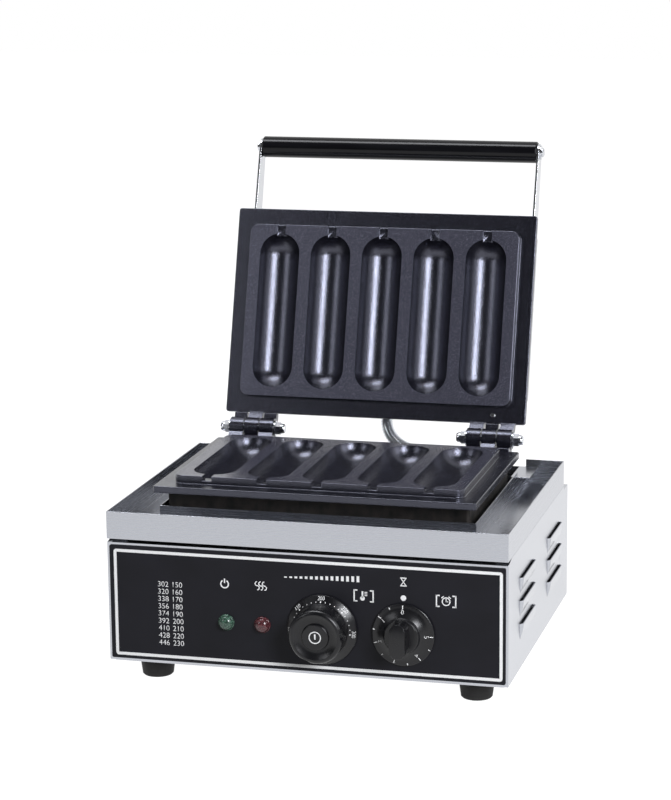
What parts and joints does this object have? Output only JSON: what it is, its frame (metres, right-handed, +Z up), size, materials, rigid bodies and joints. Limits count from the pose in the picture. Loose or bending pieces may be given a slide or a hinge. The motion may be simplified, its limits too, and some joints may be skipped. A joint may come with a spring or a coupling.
{
  "type": "hot dog waffle maker",
  "caption": "Countertop hot dog waffle maker: hinged cast mould plates with stick notches, bar handle, drip tray, dial thermostat, dial timer and two lamps on a black front panel.",
  "frame": {"origin": "on the table, under the middle of the whole part with its lid open", "axes": "+X to the user's right, +Y to the back, +Z up"},
  "size_m": [0.3552, 0.3914, 0.4338],
  "materials": {
    "stainless_sheet": "brushed",
    "bright_steel": "polished",
    "conduit_steel": "satin, ribbed",
    "nonstick_casting": "black non-stick coating on cast aluminium, fine speckle",
    "dark_steel": "dark heat-stained steel",
    "fascia_black": "black film, white print",
    "black_plastic": "black, semi-gloss",
    "grip_black": "black phenolic, gloss",
    "foot_rubber": "matt",
    "lens_green": "translucent green",
    "lens_red": "translucent red",
    "copper": "bare copper",
    "cream_plastic": "matt"
  },
  "bodies": {
    "base": {"base_housing": "stainless_sheet", "bottom_cover": "stainless_sheet", "control_fascia": "fascia_black", "drip_tray": "stainless_sheet", "support_rail_front": "stainless_sheet", "support_rail_rear": "stainless_sheet", "plate_posts": "bright_steel", "lower_heat_shield": "dark_steel", "lower_mould_plate": "nonstick_casting", "lower_heater": "dark_steel", "lower_heater_clamps": "stainless_sheet", "lower_clamp_screws": "bright_steel", "lower_flange_screw": "bright_steel", "hinge_pin_left": "bright_steel", "hinge_pin_right": "bright_steel", "hinge_washers": "bright_steel", "hinge_cap_nuts": "bright_steel", "thermostat_body": "dark_steel", "thermostat_bulb": "copper", "timer_body": "dark_steel", "lamp_holders": "black_plastic", "terminal_block": "cream_plastic", "power_lamp_lens": "lens_green", "heat_lamp_lens": "lens_red", "foot_front_left": "foot_rubber", "foot_front_right": "foot_rubber", "foot_rear_left": "foot_rubber", "foot_rear_right": "foot_rubber", "foot_screws": "bright_steel", "bottom_screws": "bright_steel", "mains_gland": "black_plastic", "conduit_gland_base": "bright_steel", "conduit": "conduit_steel"},
    "lid": {"upper_mould_plate": "nonstick_casting", "upper_heater": "dark_steel", "upper_heater_clamps": "stainless_sheet", "upper_clamp_screws": "bright_steel", "upper_flange_screw": "bright_steel", "lid_cover": "stainless_sheet", "lid_studs": "bright_steel", "lid_cap_nuts": "bright_steel", "conduit_gland_lid": "bright_steel", "handle_arm_left": "bright_steel", "handle_arm_right": "bright_steel", "arm_screws": "bright_steel", "handle_grip": "grip_black", "handle_screws": "bright_steel", "handle_washers": "bright_steel"},
    "temperature_knob": {"temperature_knob": "black_plastic", "thermostat_spindle": "bright_steel"},
    "timer_knob": {"timer_knob": "black_plastic", "timer_spindle": "bright_steel"}
  },
  "joints": [
    {"name": "lid_hinge", "type": "hinge", "parent": "base", "child": "lid", "pos_m": [0, 0.0653, 0.1768], "axis": [1, 0, 0], "range_deg": [0, 107], "deforming": ["conduit"]},
    {"name": "temperature_turn", "type": "hinge", "parent": "base", "child": "temperature_knob", "pos_m": [0.016, -0.1757, 0.0605], "axis": [0, 1, 0], "range_deg": [-94, 180]},
    {"name": "timer_turn", "type": "hinge", "parent": "base", "child": "timer_knob", "pos_m": [0.086, -0.1757, 0.0605], "axis": [0, 1, 0], "range_deg": [0, 270]}
  ]
}
